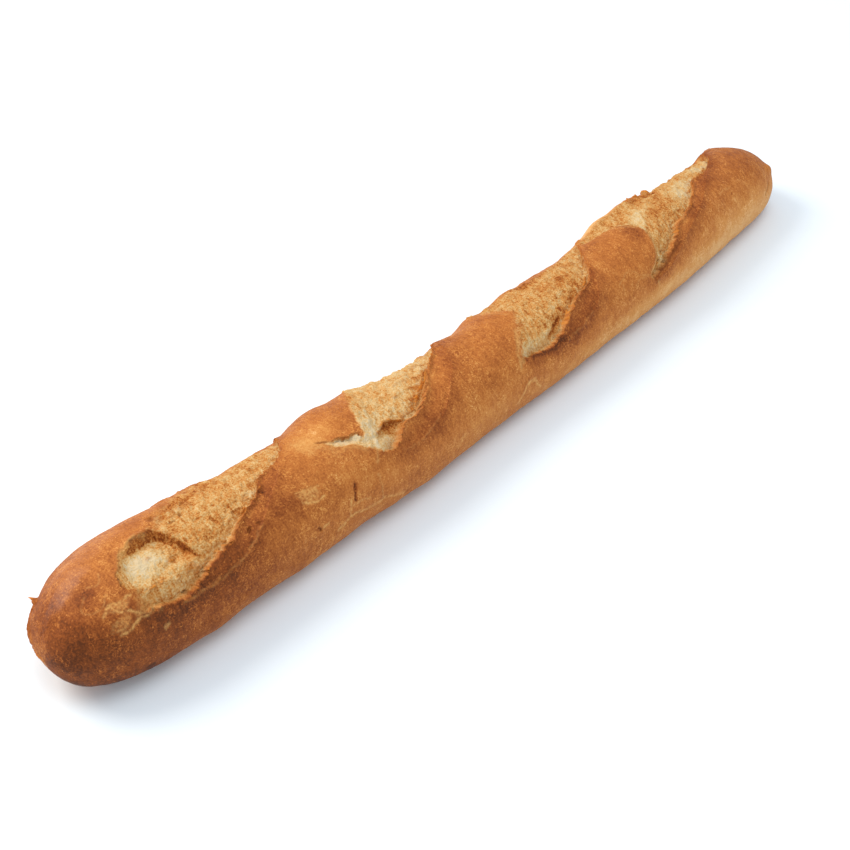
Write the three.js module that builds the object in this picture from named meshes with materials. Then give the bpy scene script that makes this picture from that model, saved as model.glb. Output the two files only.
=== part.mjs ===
// A baguette with four slanting scores that opened in the oven.
//
// The loaf is one closed solid, in millimetres. X runs along it, Z is up, and its flat base lies on z = 0.
// A place on the crust is given as [x, angle]: the angle goes round the loaf in degrees, from 0 on the
// front (-Y) side over 90 at the top to 180 at the back.
//
// 1. The body is a superellipse section, swept along a slightly bent spine between two rounded ends.
// 2. Each score is a torn opening between its lip, on the front, and its far edge, over the top. The
//    crumb lies deepest under the lip and climbs to the far edge. Below the lip, a band of thin crust
//    runs down to a fold.
// 3. Hollows are caves in the crumb, and swells are bulges and dents of the crust.

import * as THREE from 'three'

// ---- Driving dimensions ----

const LENGTH = 580
const HALF_WIDTH = 33.5 // where the girth is 1
const HEIGHT = 54 // where the girth is 1
const BELLY = 0.45 // height of the widest place, as a share of the height
const TOP_ROUNDNESS = 2.1 // superellipse exponents
const BASE_ROUNDNESS = 2.8
const BASE_CUT = 1.2 // how far the base was pressed flat

// Girth of the loaf along x: [x, girth]
const GIRTH = [
  [-290, 1.075], [-240, 1.03], [-200, 0.99], [-150, 0.955], [-100, 0.96], [-60, 0.92], [-20, 0.88],
  [20, 0.87], [60, 0.875], [100, 0.865], [150, 0.9], [190, 0.885], [230, 0.845], [260, 0.825], [290, 0.84]
]

// The spine is a shallow arc in plan: y = SPINE_Y + SPINE_BEND (x - SPINE_X)²
const SPINE_BEND = 1.5e-4
const SPINE_X = -40
const SPINE_Y = -6.4

// Rounded ends: length, superellipse exponent, height of the tip as a share of the belly's height,
// and how far the tip leans along y
const NEAR_END = { length: 60, exponent: 2.2, tipHeight: 0.97, lean: -7.2 }
const FAR_END = { length: 49, exponent: 2.84, tipHeight: 0.7, lean: -1.4 }

// One degree round the loaf, as a length on the crust
const ARC = THREE.MathUtils.degToRad(31)

// The wall under a lip is this wide, seen from outside
const WALL = 3.5

// ---- Scores ----
// depth: crumb under the lip, below the floor level; reach: how soon the crumb climbs from there
// floor: level of the crumb below the crust; ear: height of the lip; heal: width of the slope at the far edge

const SCORES = [
  {
    depth: 3.2, reach: 11, floor: 1.9, ear: 1, heal: 3,
    lip: [
      [-250, 40], [-247, 33], [-240, 29], [-228, 25.5], [-219, 32], [-211, 43], [-200, 47], [-189, 56],
      [-178, 67], [-167, 76], [-160, 94], [-151, 97], [-142, 103], [-136, 117], [-131, 136], [-128, 150],
      [-125, 162]
    ],
    far: [
      [-250, 40], [-250.5, 54], [-249, 69], [-245, 83], [-237, 94], [-227, 100], [-219, 109], [-212, 122],
      [-200, 137], [-180, 153], [-150, 162], [-125, 162]
    ],
    fold: [
      [-247, 33], [-240, 28.5], [-228, 24.5], [-210, 24.5], [-198, 28], [-186, 35], [-175, 45.5], [-164, 55],
      [-155, 65], [-147, 81], [-140, 100], [-133, 125], [-125, 162]
    ]
  },
  {
    depth: 3.4, reach: 11, floor: 3, ear: 1.2, heal: 2.5,
    lip: [
      [-100, 42], [-94, 38.5], [-88, 40], [-83, 50], [-77, 56], [-70, 52.5], [-64, 57], [-56, 67], [-48, 80],
      [-40, 94], [-31, 107], [-24, 119], [-18, 133], [-13, 147], [-10, 162]
    ],
    far: [
      [-100, 42], [-101.5, 58], [-101, 72], [-98, 88], [-94, 104], [-90, 118], [-84, 134], [-78, 152],
      [-62, 168], [-38, 174], [-20, 170], [-10, 162]
    ],
    fold: [
      [-100, 42], [-92, 34], [-84, 30], [-76, 29], [-66, 33], [-54, 40], [-45, 52], [-36, 67], [-29, 80],
      [-25, 95], [-20, 112], [-10, 162]
    ]
  },
  {
    depth: 3.2, reach: 10, floor: 1.4, ear: 0.9, heal: 2.5,
    lip: [
      [8, 29], [12, 36], [16, 38], [22, 35], [29, 31], [37, 33], [45, 39], [52, 48], [60, 58], [72, 64],
      [80, 69], [87, 75], [91, 88], [92, 102], [98, 111], [104, 119], [110, 130], [116, 144], [120, 158]
    ],
    far: [
      [8, 29], [7.5, 38], [10, 48], [14, 60], [19, 74], [24, 87], [27, 97], [24, 108], [20, 122], [12, 142],
      [14, 152], [30, 151], [48, 145], [62, 138], [78, 138], [92, 147], [105, 156], [120, 158]
    ],
    fold: [
      [18, 37], [26, 33], [37, 27], [48, 26], [58, 29], [68, 34], [77, 40], [83, 50], [88, 65], [93, 80],
      [98, 98], [106, 118], [120, 158]
    ]
  },
  {
    depth: 3, reach: 10, floor: 1.7, ear: 0.8, heal: 2.5,
    lip: [
      [129, 21], [134, 28], [142, 35], [150, 41], [161, 48], [167, 57], [174, 60], [181, 66], [191, 69],
      [199, 80], [206, 91], [212, 97], [224, 96], [234, 106], [243, 114], [250, 126], [254, 140], [256, 152]
    ],
    far: [
      [129, 21], [127, 28], [131, 36], [136, 48], [140, 64], [142.5, 82], [141, 93], [137, 104], [131, 112],
      [120, 117], [111, 122], [114, 128], [130, 130], [155, 129], [176, 127], [186, 134], [190, 148],
      [200, 162], [225, 168], [245, 163], [256, 152]
    ],
    fold: [
      [131, 20], [140, 22], [152, 29], [163, 37], [175, 45], [187, 53], [198, 61], [208, 72], [218, 83],
      [229, 95], [240, 108], [249, 126], [256, 152]
    ]
  }
]

// ---- Hollows: caves in the crumb, under an overhanging lip ----

const HOLLOWS = [
  {
    // the pocket that the first score opens with
    depth: 5.5, reach: 15, rim: 0.6,
    lip: [
      [-250, 57], [-249, 70], [-245, 83], [-237, 94], [-227, 99], [-221, 95], [-217.5, 84], [-215, 70],
      [-211, 54]
    ],
    far: [[-250, 57], [-240, 50], [-228, 46], [-218, 48], [-211, 54]]
  },
  {
    // the white gap before the second score
    depth: 2.4, reach: 30, rim: 0.8,
    lip: [[-124, 86], [-119, 78], [-113, 76], [-104, 71], [-101.5, 61], [-100, 43]],
    far: [[-124, 86], [-119, 73], [-113, 66], [-108, 59], [-103, 49], [-100, 43]]
  },
  {
    // the small brown cave beside it
    depth: 2.6, reach: 8, rim: 0.9,
    lip: [[-97, 52], [-95, 59], [-90, 63], [-85, 62], [-82, 57], [-80, 54]],
    far: [[-97, 52], [-93, 47], [-88, 45], [-83, 48], [-80, 54]]
  }
]

// ---- Swells: height of a bulge or dent, its place and its reach along and round the loaf ----

const SWELLS = [
  { height: 2.3, x: -101, angle: 138, alongReach: 14, roundReach: 30 }, // crust between the first two scores
  { height: 0.8, x: -108, angle: 100, alongReach: 9, roundReach: 16 }, // its lobe over the white gap
  { height: -1.9, x: -125, angle: 148, alongReach: 7, roundReach: 22 }, // dips and rises along the back
  { height: 2.6, x: -76, angle: 150, alongReach: 11, roundReach: 20 },
  { height: -1.3, x: -163, angle: 148, alongReach: 10, roundReach: 18 },
  { height: -1.5, x: 2, angle: 148, alongReach: 9, roundReach: 20 },
  { height: 1.4, x: 30, angle: 148, alongReach: 16, roundReach: 18 },
  { height: -1.4, x: 92, angle: 148, alongReach: 10, roundReach: 18 },
  { height: 2.8, x: 139, angle: 146, alongReach: 13, roundReach: 16 }, // back crust behind the fourth score
  { height: 2.4, x: 163, angle: 146, alongReach: 14, roundReach: 14 },
  { height: -2.6, x: 249, angle: 146, alongReach: 4, roundReach: 14 }, // notch before the last ear
  { height: 1.6, x: 261, angle: 140, alongReach: 7, roundReach: 16 },
  { height: 1.8, x: -284, angle: 168, alongReach: 5, roundReach: 22 }, // torn seam on the near end
  { height: 1.3, x: -212, angle: -25, alongReach: 14, roundReach: 25 }, // bumps low on the front
  { height: 0.9, x: -162, angle: -25, alongReach: 10, roundReach: 25 },
  { height: -1, x: -115, angle: -25, alongReach: 14, roundReach: 25 },
  { height: 1, x: -70, angle: -25, alongReach: 10, roundReach: 25 }
]

// The crust swells towards a fold and steps down above it
const FOLD_SWELL = 0.7
const FOLD_SWELL_REACH = 9
const FOLD_STEP = 0.9
const FOLD_STEP_WIDTH = 2.5
const EAR_REACH = 3

// ---- Mesh: spans of [from, to, steps], finer over the scores ----

const ROUND_SPANS = [[-35, 12, 4], [12, 150, 23], [150, 215, 6], [215, 325, 7]]
const BODY_STEPS = 102
const NEAR_END_STEPS = 13
const FAR_END_STEPS = 11
const CURVE_STEPS = 5 // segments between two points of an outline

// ---- Curves ----

// Value at x of the smooth curve through points of [x, value]
function smoothValue (points, x) {
  const last = points.length - 1
  const place = THREE.MathUtils.clamp(x, points[0][0], points[last][0])
  let i = 0
  while (i < last - 1 && place > points[i + 1][0]) i++
  const slopeAt = k => {
    const before = points[Math.max(k - 1, 0)]
    const after = points[Math.min(k + 1, last)]
    return (after[1] - before[1]) / (after[0] - before[0])
  }
  const span = points[i + 1][0] - points[i][0]
  const t = (place - points[i][0]) / span
  const rise = t * t * (3 - 2 * t)
  return points[i][1] * (1 - rise) + points[i + 1][1] * rise +
    span * t * (1 - t) * ((1 - t) * slopeAt(i) - t * slopeAt(i + 1))
}

// Smooth line through places of [x, angle], with both coordinates as lengths on the crust
function crustLine (places) {
  const points = places.map(([x, angle]) => new THREE.Vector3(x, angle * ARC, 0))
  const curve = new THREE.CatmullRomCurve3(points, false, 'catmullrom', 0.5)
  return curve.getPoints((places.length - 1) * CURVE_STEPS)
}

function distanceToLine (line, point) {
  const foot = new THREE.Vector3()
  const segment = new THREE.Line3()
  let nearest = Infinity
  for (let i = 1; i < line.length; i++) {
    segment.set(line[i - 1], line[i]).closestPointToPoint(point, true, foot)
    nearest = Math.min(nearest, foot.distanceTo(point))
  }
  return nearest
}

// Is the point inside the loop that one line makes out and the other back?
function isBetween (line, otherLine, point) {
  const loop = [...line, ...[...otherLine].reverse()]
  let inside = false
  loop.forEach((a, i) => {
    const b = loop[(i + 1) % loop.length]
    const crosses = (a.y > point.y) !== (b.y > point.y)
    if (crosses && point.x < a.x + (b.x - a.x) * (point.y - a.y) / (b.y - a.y)) inside = !inside
  })
  return inside
}

function ease (t) {
  return THREE.MathUtils.smoothstep(t, 0, 1)
}

// ---- Relief: height of the surface over the smooth body ----

function withLines (feature) {
  const lines = { ...feature, lipLine: crustLine(feature.lip), farLine: crustLine(feature.far) }
  if (feature.fold) lines.foldLine = crustLine(feature.fold)
  return lines
}

function scoreRelief (score, point) {
  const toLip = distanceToLine(score.lipLine, point)
  if (isBetween(score.lipLine, score.farLine, point)) {
    const toFar = distanceToLine(score.farLine, point)
    const crumb = -(score.floor + score.depth * Math.exp(-toLip / score.reach))
    return THREE.MathUtils.lerp(score.ear, crumb, ease(toLip / WALL)) * ease(toFar / score.heal)
  }
  const toFold = distanceToLine(score.foldLine, point)
  if (isBetween(score.lipLine, score.foldLine, point)) {
    const step = FOLD_STEP * ease(toFold / FOLD_STEP_WIDTH) * ease(toLip / WALL)
    return score.ear * Math.exp(-toLip / EAR_REACH) - step
  }
  return FOLD_SWELL * Math.exp(-toFold / FOLD_SWELL_REACH)
}

function hollowRelief (hollow, point) {
  const toLip = distanceToLine(hollow.lipLine, point)
  if (!isBetween(hollow.lipLine, hollow.farLine, point)) return hollow.rim * Math.exp(-toLip / 2)
  const toFar = distanceToLine(hollow.farLine, point)
  return -hollow.depth * Math.exp(-toLip / hollow.reach) * ease(toLip / WALL) * ease(toFar / 6)
}

function swellRelief (swell, x, angle) {
  const along = (x - swell.x) / swell.alongReach
  const round = (angle - swell.angle) / swell.roundReach
  return swell.height * Math.exp(-along * along - round * round)
}

const scores = SCORES.map(withLines)
const hollows = HOLLOWS.map(withLines)

function relief (x, angle) {
  const point = new THREE.Vector3(x, angle * ARC, 0)
  let height = 0
  for (const score of scores) height += scoreRelief(score, point)
  for (const hollow of hollows) height += hollowRelief(hollow, point)
  for (const swell of SWELLS) height += swellRelief(swell, x, angle)
  return height
}

// ---- Body ----

// Distance from the section's centre to the smooth crust, for a loaf of the given girth
function sectionRadius (girth, angle) {
  const top = Math.sin(angle) >= 0
  const exponent = top ? TOP_ROUNDNESS : BASE_ROUNDNESS
  const belly = BELLY * HEIGHT * girth
  const upDown = top ? HEIGHT * girth - belly : belly + BASE_CUT
  const across = Math.abs(Math.cos(angle) / (HALF_WIDTH * girth)) ** exponent
  const upright = Math.abs(Math.sin(angle) / upDown) ** exponent
  return (across + upright) ** (-1 / exponent)
}

// How far into an end x lies, from 0 at its root to 1 at the tip, and how much the section shrinks there
function endShape (end, distanceFromMiddle) {
  const into = THREE.MathUtils.clamp((distanceFromMiddle - LENGTH / 2 + end.length) / end.length, 0, 1)
  return { into, shrink: (1 - into ** end.exponent) ** (1 / end.exponent) }
}

function surfacePoint (x, degrees) {
  const angle = THREE.MathUtils.degToRad(degrees)
  const girth = smoothValue(GIRTH, x)
  const near = endShape(NEAR_END, -x)
  const far = endShape(FAR_END, x)
  const shrink = near.shrink * far.shrink
  const tipDrop = (1 - NEAR_END.tipHeight) * near.into ** 2 + (1 - FAR_END.tipHeight) * far.into ** 2
  const centreZ = BELLY * HEIGHT * girth * (1 - tipDrop)
  const lean = NEAR_END.lean * near.into ** 2 + FAR_END.lean * far.into ** 2
  const centreY = SPINE_Y + SPINE_BEND * (x - SPINE_X) ** 2 + lean
  const radius = sectionRadius(girth, angle) * shrink + relief(x, degrees) * Math.min(1, 3 * shrink)
  return [x, centreY - radius * Math.cos(angle), Math.max(0, centreZ + radius * Math.sin(angle))]
}

// ---- Mesh ----

function roundAngles () {
  const angles = []
  for (const [from, to, steps] of ROUND_SPANS) {
    for (let i = 0; i < steps; i++) angles.push(from + (to - from) * i / steps)
  }
  return angles
}

// Rows of the mesh along x, closer together towards each tip
function rowPlaces () {
  const nearRoot = -LENGTH / 2 + NEAR_END.length
  const farRoot = LENGTH / 2 - FAR_END.length
  const places = []
  for (let i = 1; i < NEAR_END_STEPS; i++) {
    places.push(nearRoot - NEAR_END.length * Math.cos(Math.PI / 2 * i / NEAR_END_STEPS))
  }
  for (let i = 0; i <= BODY_STEPS; i++) places.push(nearRoot + (farRoot - nearRoot) * i / BODY_STEPS)
  for (let i = 1; i < FAR_END_STEPS; i++) {
    places.push(farRoot + FAR_END.length * Math.sin(Math.PI / 2 * i / FAR_END_STEPS))
  }
  return places
}

function loafGeometry () {
  const angles = roundAngles()
  const rows = rowPlaces()
  const around = angles.length
  const vertices = []
  for (const x of rows) {
    for (const angle of angles) vertices.push(surfacePoint(x, angle))
  }
  const nearTip = vertices.push(surfacePoint(-LENGTH / 2, 0)) - 1
  const farTip = vertices.push(surfacePoint(LENGTH / 2, 0)) - 1

  const gap = (a, b) => Math.hypot(...vertices[a].map((value, axis) => value - vertices[b][axis]))
  const triangles = []
  for (let j = 0; j < around; j++) {
    const next = (j + 1) % around
    const lastRow = (rows.length - 1) * around
    triangles.push(nearTip, j, next, farTip, lastRow + next, lastRow + j)
    for (let i = 0; i < rows.length - 1; i++) {
      const a = i * around + j
      const b = a + around
      const c = (i + 1) * around + next
      const d = i * around + next
      if (gap(a, c) < gap(b, d)) triangles.push(a, b, c, a, c, d)
      else triangles.push(a, b, d, b, c, d)
    }
  }

  const geometry = new THREE.BufferGeometry()
  geometry.setAttribute('position', new THREE.Float32BufferAttribute(vertices.flat(), 3))
  geometry.setIndex(triangles)
  return geometry
}

// Puts the origin under the middle of the loaf's box
function centred (geometry) {
  geometry.computeBoundingBox()
  const middle = geometry.boundingBox.getCenter(new THREE.Vector3())
  geometry.translate(-middle.x, -middle.y, 0)
  geometry.computeVertexNormals()
  return geometry
}

function makeLoaf () {
  const crust = new THREE.MeshStandardMaterial({ color: '#b8743c', roughness: 0.6, metalness: 0 })
  const loaf = new THREE.Mesh(centred(loafGeometry()), crust)
  loaf.name = 'loaf'
  return loaf
}

const baguette = new THREE.Group()
baguette.add(makeLoaf())

export default baguette
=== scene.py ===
"""The looks of the baguette: one fine mesh with a crust and crumb material, a white floor, light and camera.

Lengths of the loaf are in millimetres until its mesh is made, and angles go round it in degrees: 0 on
the front (-Y) side, 90 at the top, 180 at the back. A place on the crust is (x, angle).

The loaf is worked out point by point on a grid: the smooth body, the scores and hollows torn open in it,
swells and browning, marks (patches, strokes and holes), then noise. Each point also gets the shares that
the material reads: crumb, toast (browning, with painted shade and painted light in places), pale (floury
or stretched crust, and a painted highlight along the folds), rim (torn orange edge, and the same painted
highlight), pit (dark hole or crack: painted shade) and gloss.
"""

import bpy
import numpy as np
from mathutils import Matrix, Vector


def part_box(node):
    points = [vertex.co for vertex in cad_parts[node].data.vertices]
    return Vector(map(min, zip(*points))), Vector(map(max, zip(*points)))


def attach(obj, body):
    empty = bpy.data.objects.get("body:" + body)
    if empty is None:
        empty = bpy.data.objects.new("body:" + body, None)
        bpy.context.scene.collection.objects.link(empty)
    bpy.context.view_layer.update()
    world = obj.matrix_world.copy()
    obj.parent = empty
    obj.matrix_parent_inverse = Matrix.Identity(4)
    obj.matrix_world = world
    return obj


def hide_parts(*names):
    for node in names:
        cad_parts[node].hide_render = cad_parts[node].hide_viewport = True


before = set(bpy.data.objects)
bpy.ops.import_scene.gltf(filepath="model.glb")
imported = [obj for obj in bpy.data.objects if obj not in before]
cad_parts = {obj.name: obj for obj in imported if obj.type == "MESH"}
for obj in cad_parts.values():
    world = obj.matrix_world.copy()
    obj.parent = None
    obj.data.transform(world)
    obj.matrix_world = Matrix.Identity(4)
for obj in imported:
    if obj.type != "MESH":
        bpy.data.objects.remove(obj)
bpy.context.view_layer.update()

MM = 0.001

# ---- Body of the loaf ----

LENGTH = 580.0
HALF_WIDTH = 33.5                 # where the girth is 1
HEIGHT = 54.0
BELLY = 0.45                      # height of the widest place, as a share of the height
TOP_ROUNDNESS = 2.1               # superellipse exponents
BASE_ROUNDNESS = 2.8
BASE_CUT = 1.2                    # how far the base was pressed flat
ARC = 31.0 * np.pi / 180          # one degree round the loaf, as a length on the crust

GIRTH = [(-290, 1.075), (-240, 1.03), (-200, 0.99), (-150, 0.955), (-100, 0.96), (-60, 0.92), (-20, 0.88),
         (20, 0.87), (60, 0.875), (100, 0.865), (150, 0.9), (190, 0.885), (230, 0.845), (260, 0.825),
         (290, 0.84)]
SPINE_BEND = 1.5e-4
SPINE_X = -40
SPINE_Y = -6.4
NEAR_END = dict(length=60, exponent=2.2, tip_height=0.97, lean=-7.2)
FAR_END = dict(length=49, exponent=2.84, tip_height=0.7, lean=-1.4)

# ---- Scores: openings between a lip on the front and a far edge over the top ----
# floor, depth: how deep the crumb lies, and how much deeper under the lip; that fades over reach
# ear: how far the lip stands up
# heal, soft: width over which relief and crumb fade out at the far edge
# foot, top: browning of the crumb under the lip and farther up
# band: extra browning between lip and fold; shade: extra browning along the fold
# fade: the share of both that is lost towards the end of the score

SCORES = [
    dict(depth=3.2, reach=11, floor=1.9, ear=0.5, heal=8.0, soft=7.0,
         foot=0.49, top=0.56, band=0.15, shade=0.20, fade=0.75,
         lip=[(-250, 40), (-247, 33), (-240, 29), (-230, 26), (-222, 27), (-216, 32), (-210, 38), (-203, 42),
              (-196, 46), (-188, 53), (-181, 61), (-175, 67), (-167, 73), (-160, 89), (-151, 92), (-142, 99),
              (-136, 113), (-131, 134), (-128, 150), (-125, 162)],
         far=[(-250, 40), (-250.5, 54), (-249.5, 68), (-245, 82), (-238, 93), (-227, 102), (-219, 109),
              (-212, 122), (-200, 137), (-180, 153), (-150, 162), (-125, 162)],
         fold=[(-247, 33), (-240, 28), (-228, 24), (-212, 24), (-203, 25), (-194, 28.5), (-186, 34),
               (-179, 42), (-173, 50), (-165, 61), (-152, 79), (-144, 97), (-135, 123), (-125, 162)]),
    dict(depth=3.4, reach=11, floor=3.0, ear=0.6, heal=14.0, soft=2.0,
         foot=0.36, top=0.43, band=0.06, shade=0.19, fade=0.4,
         lip=[(-100, 42), (-95, 37.5), (-91, 36), (-87, 39), (-82, 47), (-76, 54.5), (-70, 52), (-64, 56),
              (-56, 66), (-48, 80), (-40, 94), (-31, 107), (-24, 119), (-18, 133), (-13, 147), (-10, 162)],
         far=[(-100, 42), (-104, 49), (-106, 57), (-104, 64), (-101.5, 69), (-100, 76), (-98, 88), (-94, 104),
              (-90, 118), (-84, 134), (-78, 152), (-62, 168), (-38, 174), (-20, 170), (-10, 162)],
         fold=[(-100, 42), (-92, 34), (-84, 30), (-76, 29), (-66, 33), (-54, 40), (-45, 52), (-36, 67),
               (-29, 80), (-25, 95), (-20, 112), (-10, 162)]),
    dict(depth=3.2, reach=10, floor=1.4, ear=0.5, heal=12.0, soft=6.0,
         foot=0.44, top=0.58, band=0.15, shade=0.20, fade=0.75,
         lip=[(8, 29), (12, 35), (16, 36), (22, 33), (30, 30.5), (38, 32), (45, 36), (52, 42), (57, 48.5),
              (63, 54.5), (71, 60), (78, 64), (87, 71.5), (92, 82), (96, 96), (100, 107), (105, 117),
              (110, 130), (116, 144), (120, 158)],
         far=[(8, 29), (7.5, 38), (10, 48), (14, 60), (19, 74), (24, 87), (27, 97), (24, 108), (20, 122),
              (12, 142), (14, 152), (30, 151), (48, 145), (62, 138), (78, 138), (92, 147), (105, 156),
              (120, 158)],
         fold=[(18, 37), (26, 33), (37, 27), (48, 26), (58, 29), (68, 34), (77, 40), (83, 50), (88, 65),
               (93, 80), (98, 98), (106, 118), (120, 158)]),
    dict(depth=3.0, reach=10, floor=1.7, ear=0.05, heal=5.0, soft=2.0,
         foot=0.50, top=0.60, band=0.08, shade=0.20, fade=0.2,
         lip=[(127, 19), (134, 21), (142, 27), (149, 35), (157, 42), (163, 49), (167, 57), (174, 58),
              (182, 63), (188, 64), (195, 73), (202, 80), (207, 90), (213, 97), (224, 95), (234, 104),
              (243, 113), (250, 126), (254, 140), (256, 152)],
         far=[(127, 19), (125, 26), (131, 34), (137, 46), (141, 62), (143, 82), (141, 93), (137, 104),
              (131, 112), (120, 117), (111, 123), (111, 133), (124, 140), (150, 141), (172, 140), (184, 146),
              (190, 154), (200, 163), (225, 168), (245, 163), (256, 152)],
         fold=[(130, 18), (140, 20), (152, 28), (163, 37), (175, 45), (187, 53), (198, 61), (208, 72),
               (218, 83), (229, 95), (240, 108), (249, 126), (256, 152)]),
]

# Hollows deeper than a score
# depth, brown: depth and browning of the wall under the lip, as (x, value); wall: its width
# reach: distance from the lip over which the depth fades; rim: how far the lip stands up
HOLLOWS = [
    dict(depth=[(-250, 1.2), (-240, 2.6), (-228, 4.8), (-217, 5.4), (-211, 3.0)],             # pocket
         brown=[(-250, 0.12), (-240, 0.16), (-229, 0.34), (-219, 0.36), (-212, 0.12)],
         wall=3.2, reach=15, rim=0.6,
         lip=[(-250, 57), (-249.5, 68), (-245, 82), (-239, 91), (-233, 97), (-225.5, 101), (-218, 97),
              (-214, 83), (-212.5, 68), (-210, 53)],
         far=[(-250, 57), (-240, 50), (-228, 46), (-218, 48), (-210, 53)]),
    dict(depth=[(-124, 0.5), (-114, 1.7), (-100, 2.4)],                                       # gap
         brown=[(-124, 0.1), (-100, 0.1)], wall=1.0, reach=30, rim=0.6,
         lip=[(-124, 86), (-119, 78), (-113, 76), (-107, 72), (-103, 68)],
         far=[(-124, 86), (-119, 71), (-113, 63), (-108, 56), (-104, 51), (-101, 55), (-103, 68)]),
    dict(depth=[(-96, 1.2), (-90, 2.2), (-75, 1.8)],                                          # cave
         brown=[(-96, 0.1), (-75, 0.2)], wall=1.2, reach=8, rim=0.7,
         lip=[(-96, 52), (-93, 58), (-89, 63.5), (-83, 66), (-79, 62), (-75, 58)],
         far=[(-96, 52), (-92, 46), (-87, 43), (-82, 47), (-78, 52), (-75, 58)]),
]

# Bulges and dents of the crust: height, place, reach along and round the loaf
SWELLS = [
    (2.0, -106, 138, 12, 30),
    (0.8, -108, 100, 9, 16),
    (-1.9, -125, 148, 7, 22),
    (1.5, -80, 150, 12, 20),
    (-1.3, -163, 148, 10, 18),
    (-1.5, 0, 148, 9, 20),
    (1.9, 17, 150, 8, 16),
    (1.8, 47, 145, 9, 14),
    (-1.4, 92, 148, 10, 18),
    (4.0, 139, 146, 13, 16),
    (3.8, 162, 142, 12, 14),
    (-2.6, 249, 146, 4, 14),
    (1.6, 261, 140, 7, 16),
    (1.0, -284, 162, 5, 20),
    (1.3, -212, -25, 14, 25),
    (0.9, -162, -25, 10, 25),
    (-1.0, -115, -25, 14, 25),
    (1.0, -70, -25, 10, 25),
    (2.0, 278, 40, 5, 10),
]

SCORE_MARGIN = 30.0               # how far round its lines a score changes the crust
WALL = 0.9                        # width of the torn wall under a lip
EAR_REACH = 3.0                   # over which the ear fades below the lip
EAR_START = 32.0                  # how far from the start of a score its lip stands up in full
FOLD_SWELL = 0.7                  # bulge of the crust below a fold
FOLD_SWELL_REACH = 9.0
FOLD_STEP = 1.1                   # how much lower the band between lip and fold lies
FOLD_STEP_WIDTH = (0.9, 8.0)      # where the fold starts, and from halfway on
FOLD_STEP_FROM_LIP = 3.0          # over which the step sets in below the lip

HOLLOW_MARGIN = 12.0              # how far round its lines a hollow changes the crust
HOLLOW_RIM_REACH = 2.0            # over which its rim fades outside the lip
HOLLOW_HEAL = 6.0                 # width over which the depth fades out at the far edge
HOLLOW_SOFT = 1.0                 # the same for the crumb
HOLLOW_BROWN_HEAL = 4.0           # the same for the browning of the wall
HOLLOW_BROWN_EDGE = 1.5           # over which it ends at the wall's foot

JAGS = 1.35                       # how far a torn lip strays from its line
JAGS_REACH = 6.0                  # distance from the line where the straying ends
JAGS_FROM_FAR = 2.0               # it is full where the lip is this much nearer than the far edge
FAR_JAGS = 0.35                   # straying of the crumb's far edge, for each mm of jags and of soft width
HOLLOW_JAGS = 0.5                 # a hollow's jags, as a share of a score's

RIM_FROM_FAR = 1.5                # no orange rim this near the far edge
RIM_GROWTH = 2.0                  # width over which it sets in beyond that
RIM_SHARE = 0.80                  # orange along the torn lip
RIM_PLACE = -0.1                  # its middle, as a distance into the opening
RIM_WIDTH = 0.45
FLECK_SHARE = 0.75                # orange flecks in the crumb
FLECK_PLACE = 1.5                 # where they are strongest, as a distance into the opening
FLECK_REACH = 5.0
FLECK_SIZE = 1.9

# ---- Browning, with painted shade and light in places, as (amount, x, angle, reach along, reach round) ----

CRUST_TONE = 0.56                 # where nothing else is said
CRUST_TONES = [
    (0.22, -272, 12, 36, 45),     # dark near end
    (0.28, -286, 52, 20, 50),
    # painted shade along the near end's bottom edge
    (0.36, -270, -34, 40, 18),
    (0.16, -282, 118, 12, 30),
    (0.21, -215, 4, 50, 26),
    (0.20, -266, 81, 5, 9),       # red blister
    (-0.12, -174, 54, 9, 8),
    (0.18, -160, 48, 10, 10),
    (0.08, -150, 30, 20, 14),
    (0.04, -150, 64, 13, 12),
    (-0.24, -122, 95, 14, 18),
    (-0.08, -110, 30, 30, 22),
    (0.05, -98, 98, 5, 30),       # browned edge of the second flap
    (-0.12, -43, 78, 8, 12),
    (-0.12, -28, 6, 30, 15),
    (0.04, -75, -8, 22, 14),
    (0.07, -12, 55, 16, 14),
    (0.06, 55, 20, 25, 9),
    (0.02, 103, 55, 12, 20),
    # paler low front, partly painted light from the floor
    (-0.34, 120, -12, 80, 20),
    (-0.06, -20, -20, 80, 20),
    (0.08, 150, 98, 16, 20),      # browned flap
    (0.22, 137, 82, 5, 18),
    (-0.10, 170, 52, 10, 9),
    (-0.08, 198, 62, 10, 10),
    (-0.50, 135, 146, 30, 12),    # pale back of the fourth score, partly a painted sheen on the top
    (-0.12, 98, 90, 6, 24),
    (-0.40, 235, -5, 70, 32),     # pale front of the far end, partly painted light from the floor
    (0.10, 262, 75, 24, 34),
    # painted shade along the far end's bottom edge
    (0.16, 286, -10, 10, 26),
    (0.10, -265, 150, 30, 25),
]
SHADE_REACH = 6.0                 # of the browning along a fold
BAND_SHADE = 0.5                  # the share of it on the band between lip and fold
FADE_START = 0.9                  # where it begins to fade: 0 is a score's start, 1 halfway, 2 its end

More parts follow.
